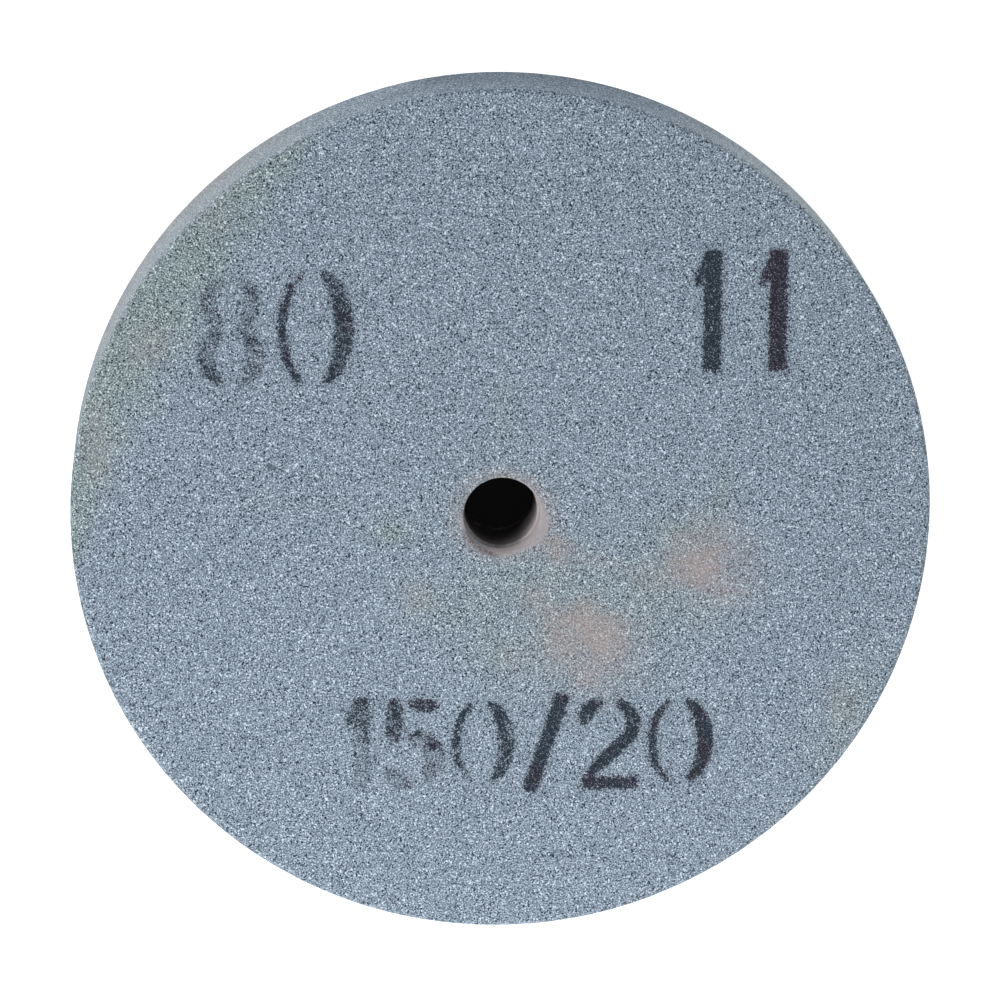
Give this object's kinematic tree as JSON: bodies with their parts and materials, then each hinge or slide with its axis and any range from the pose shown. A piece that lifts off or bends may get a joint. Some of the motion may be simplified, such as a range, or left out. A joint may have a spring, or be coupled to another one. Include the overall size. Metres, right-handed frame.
{
  "type": "grinding wheel",
  "caption": "Straight round abrasive wheel with flat faces, eased edges and a bushed centre bore that fits the arbor of a bench grinder.",
  "frame": {"origin": "centre of the bore at the wheel's back face, on the surface that the wheel lies on", "axes": "+Z along the wheel's axis, out of the marked front face; +Y is the way up of the marks on that face"},
  "size_m": [0.15, 0.15, 0.02],
  "materials": {
    "bonded_grain": "open, rough blue-grey grain in a glassy bond, with worn black stencilled numbers on the front face",
    "bush": "smooth, matt, pale pinkish grey, dusty"
  },
  "bodies": {
    "root": {"abrasive_disc": "bonded_grain", "bore_bush": "bush"}
  },
  "joints": []
}
